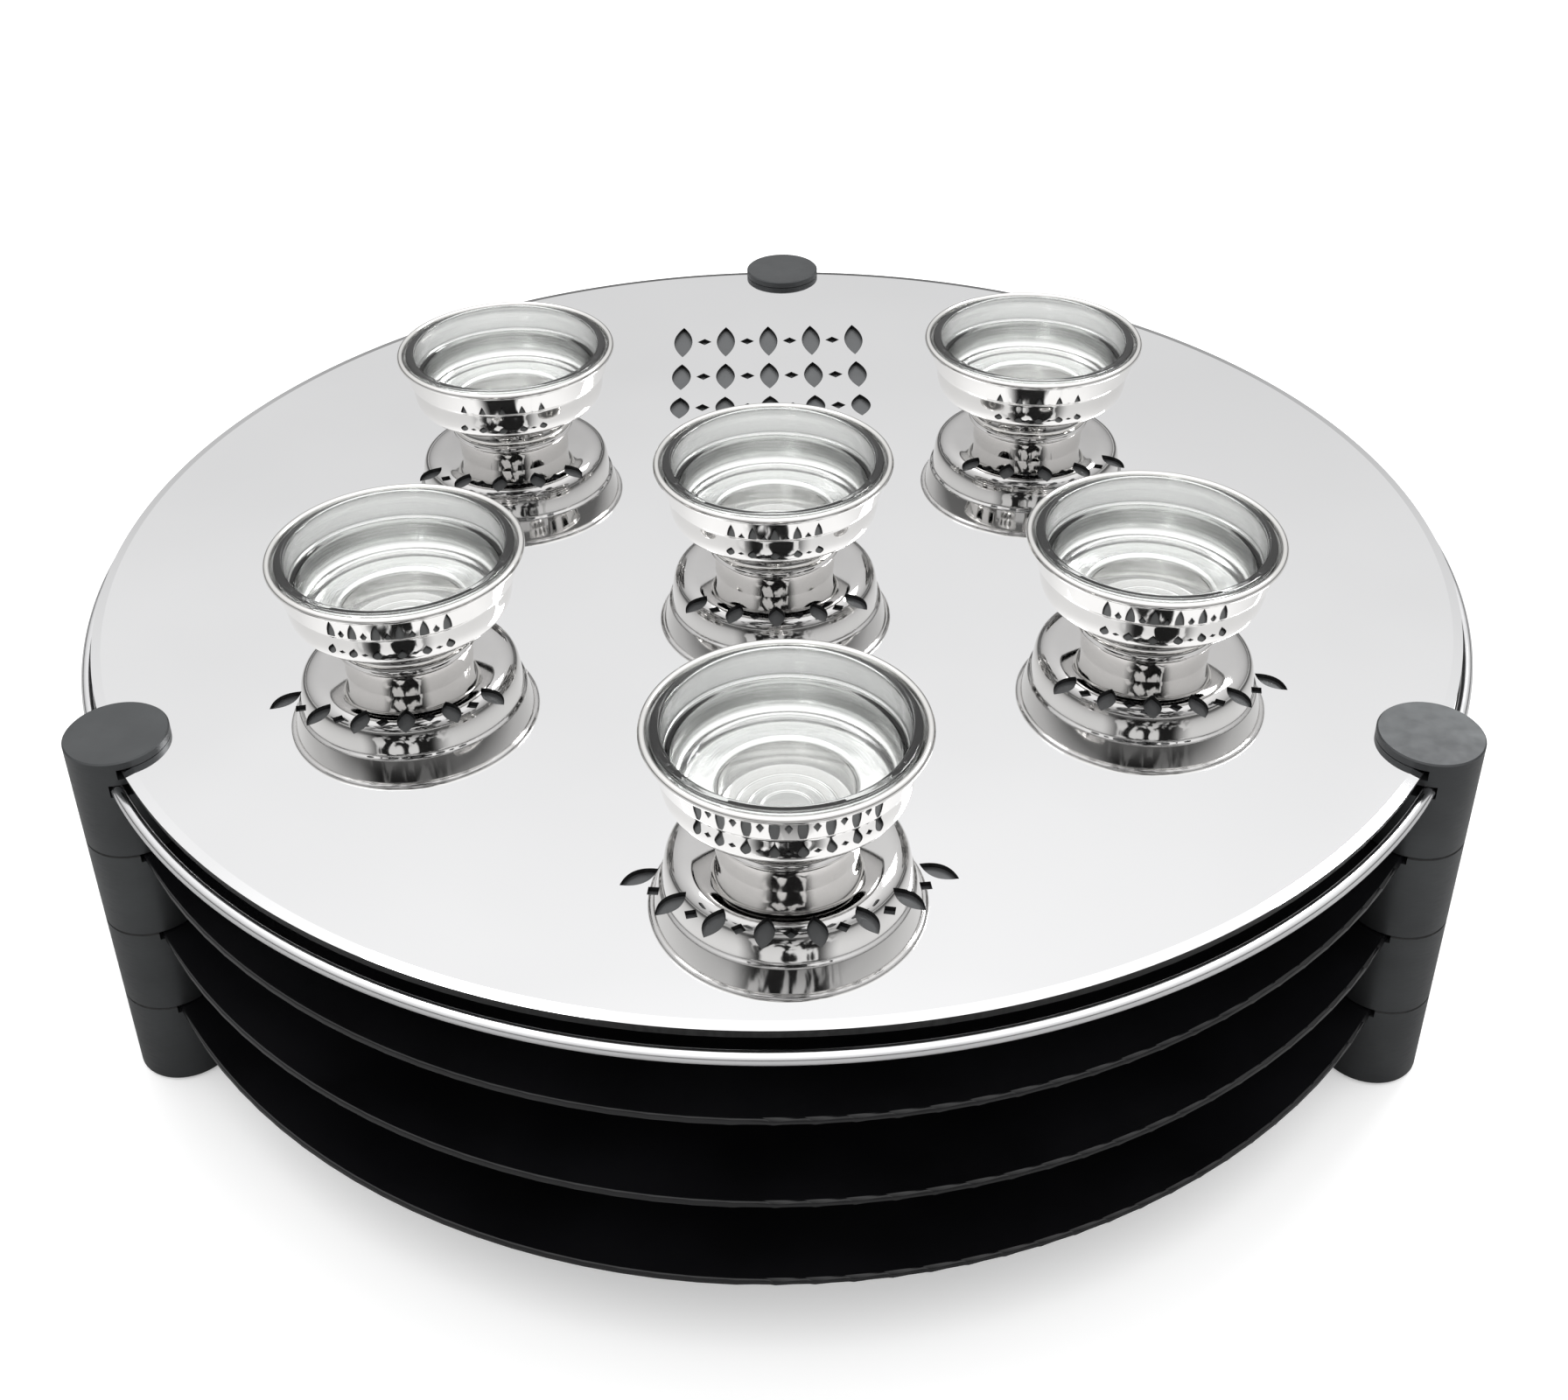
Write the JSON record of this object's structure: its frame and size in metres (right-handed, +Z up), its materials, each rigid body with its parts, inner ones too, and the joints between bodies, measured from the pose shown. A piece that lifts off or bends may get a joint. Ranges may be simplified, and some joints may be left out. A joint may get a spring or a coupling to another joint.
{
  "type": "seder plate",
  "caption": "Tiered round seder plate: a pierced mirror top with small glass-lined silver dishes, over black shelves for matzah carried by dark stacked posts.",
  "frame": {"origin": "middle of the stand's footprint at the level of the foot pads, with the plate's own axis 3.4 mm in front of it (-Y)", "axes": "+Z up, +Y from the front dish towards the rear post, +X to the right"},
  "size_m": [0.3665, 0.3734, 0.1271],
  "materials": {
    "post_grey": "satin dark grey anodising",
    "shelf_black": "smooth black coating with a soft gloss",
    "backing_grey": "satin dark grey anodising",
    "plate_mirror": "mirror-polished stainless steel",
    "hoop_polish": "polished steel wire",
    "dish_silver": "polished silver plate",
    "liner_glass": "clear pressed glass",
    "screw_steel": "plain steel",
    "pad_rubber": "matt black rubber"
  },
  "bodies": {
    "lower_tier": {"lower_post_left": "post_grey", "lower_post_right": "post_grey", "lower_post_rear": "post_grey", "lower_shelf": "shelf_black", "lower_shelf_screws": "screw_steel", "lower_dowels": "screw_steel", "foot_pads": "pad_rubber"},
    "middle_tier": {"middle_post_left": "post_grey", "middle_post_right": "post_grey", "middle_post_rear": "post_grey", "middle_shelf": "shelf_black", "middle_shelf_screws": "screw_steel", "middle_dowels": "screw_steel"},
    "upper_tier": {"upper_post_left": "post_grey", "upper_post_right": "post_grey", "upper_post_rear": "post_grey", "upper_shelf": "shelf_black", "upper_shelf_screws": "screw_steel", "upper_dowels": "screw_steel"},
    "top_unit": {"top_post_left": "post_grey", "top_post_right": "post_grey", "top_post_rear": "post_grey", "top_plate": "plate_mirror", "plate_backing": "backing_grey", "rim_hoop": "hoop_polish", "top_screws": "screw_steel"},
    "front_dish": {"front_bowl": "dish_silver", "front_foot_ring": "dish_silver"},
    "front_glass": {"front_liner": "liner_glass"},
    "front_left_dish": {"front_left_bowl": "dish_silver", "front_left_foot_ring": "dish_silver"},
    "front_left_glass": {"front_left_liner": "liner_glass"},
    "front_right_dish": {"front_right_bowl": "dish_silver", "front_right_foot_ring": "dish_silver"},
    "front_right_glass": {"front_right_liner": "liner_glass"},
    "rear_left_dish": {"rear_left_bowl": "dish_silver", "rear_left_foot_ring": "dish_silver"},
    "rear_left_glass": {"rear_left_liner": "liner_glass"},
    "rear_right_dish": {"rear_right_bowl": "dish_silver", "rear_right_foot_ring": "dish_silver"},
    "rear_right_glass": {"rear_right_liner": "liner_glass"},
    "centre_dish": {"centre_bowl": "dish_silver", "centre_foot_ring": "dish_silver"},
    "centre_glass": {"centre_liner": "liner_glass"}
  },
  "joints": [
    {"name": "middle_tier_lift", "type": "slide", "parent": "lower_tier", "child": "middle_tier", "axis": [0, 0, 1], "range_m": [0, 0.06]},
    {"name": "upper_tier_lift", "type": "slide", "parent": "middle_tier", "child": "upper_tier", "axis": [0, 0, 1], "range_m": [0, 0.06]},
    {"name": "top_unit_lift", "type": "slide", "parent": "upper_tier", "child": "top_unit", "axis": [0, 0, 1], "range_m": [0, 0.06]},
    {"name": "front_dish_lift", "type": "slide", "parent": "top_unit", "child": "front_dish", "axis": [0, 0, 1], "range_m": [0, 0.05]},
    {"name": "front_liner_lift", "type": "slide", "parent": "front_dish", "child": "front_glass", "axis": [0, 0, 1], "range_m": [0, 0.04]},
    {"name": "front_left_dish_lift", "type": "slide", "parent": "top_unit", "child": "front_left_dish", "axis": [0, 0, 1], "range_m": [0, 0.05]},
    {"name": "front_left_liner_lift", "type": "slide", "parent": "front_left_dish", "child": "front_left_glass", "axis": [0, 0, 1], "range_m": [0, 0.04]},
    {"name": "front_right_dish_lift", "type": "slide", "parent": "top_unit", "child": "front_right_dish", "axis": [0, 0, 1], "range_m": [0, 0.05]},
    {"name": "front_right_liner_lift", "type": "slide", "parent": "front_right_dish", "child": "front_right_glass", "axis": [0, 0, 1], "range_m": [0, 0.04]},
    {"name": "rear_left_dish_lift", "type": "slide", "parent": "top_unit", "child": "rear_left_dish", "axis": [0, 0, 1], "range_m": [0, 0.05]},
    {"name": "rear_left_liner_lift", "type": "slide", "parent": "rear_left_dish", "child": "rear_left_glass", "axis": [0, 0, 1], "range_m": [0, 0.04]},
    {"name": "rear_right_dish_lift", "type": "slide", "parent": "top_unit", "child": "rear_right_dish", "axis": [0, 0, 1], "range_m": [0, 0.05]},
    {"name": "rear_right_liner_lift", "type": "slide", "parent": "rear_right_dish", "child": "rear_right_glass", "axis": [0, 0, 1], "range_m": [0, 0.04]},
    {"name": "centre_dish_lift", "type": "slide", "parent": "top_unit", "child": "centre_dish", "axis": [0, 0, 1], "range_m": [0, 0.05]},
    {"name": "centre_liner_lift", "type": "slide", "parent": "centre_dish", "child": "centre_glass", "axis": [0, 0, 1], "range_m": [0, 0.04]}
  ]
}
